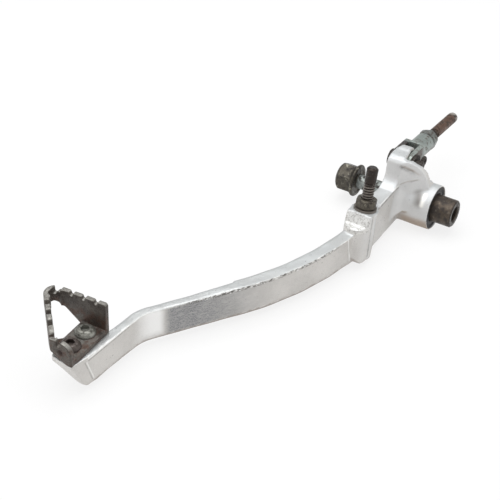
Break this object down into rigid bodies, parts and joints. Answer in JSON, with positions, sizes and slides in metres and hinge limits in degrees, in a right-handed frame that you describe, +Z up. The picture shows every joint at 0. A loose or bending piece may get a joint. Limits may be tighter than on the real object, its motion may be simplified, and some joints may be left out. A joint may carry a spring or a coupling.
{
  "type": "rear brake pedal",
  "caption": "Forged motorcycle rear brake pedal with serrated toe claw, pivot barrel on a collar and bolt, height adjuster and clevis with push rod.",
  "frame": {"origin": "on the pivot axis in the plane of the barrel's inboard end", "axes": "+X forward along the motorcycle, +Y inboard along the pivot axis, +Z up, normal of the toe pad"},
  "size_m": [0.2846, 0.1243, 0.0512],
  "materials": {
    "forged_aluminium": "satin",
    "bush_bronze": "satin",
    "seal_rubber": "matte",
    "collar_steel": "satin",
    "bolt_steel": "satin",
    "claw_steel": "satin",
    "rusty_screw": "rough",
    "worn_screw": "satin",
    "adjuster_steel": "satin",
    "nut_zinc": "rough",
    "clevis_zinc": "satin",
    "pin_steel": "rough",
    "rod_rust": "rough"
  },
  "bodies": {
    "mount": {"pivot_collar": "collar_steel", "pivot_bolt": "bolt_steel"},
    "pedal": {"lever": "forged_aluminium", "inboard_bush": "bush_bronze", "outboard_bush": "bush_bronze", "inboard_seal": "seal_rubber", "outboard_seal": "seal_rubber", "toe_claw": "claw_steel", "front_claw_screw": "rusty_screw", "rear_claw_screw": "worn_screw", "adjuster_screw": "adjuster_steel", "adjuster_nut": "nut_zinc", "adjuster_washer": "nut_zinc"},
    "linkage": {"clevis_fork": "clevis_zinc", "clevis_pin": "pin_steel", "clevis_washer": "pin_steel", "cotter_pin": "pin_steel", "rod_nut": "clevis_zinc", "push_rod": "rod_rust"}
  },
  "joints": [
    {"name": "pedal_pivot", "type": "hinge", "parent": "mount", "child": "pedal", "pos_m": [0, 0, 0], "axis": [0, 1, 0], "range_deg": [-8, 14]},
    {"name": "clevis_pivot", "type": "hinge", "parent": "pedal", "child": "linkage", "pos_m": [-0.0008, -0.02185, 0.0215], "axis": [0, 1, 0], "range_deg": [-20, 40]}
  ]
}
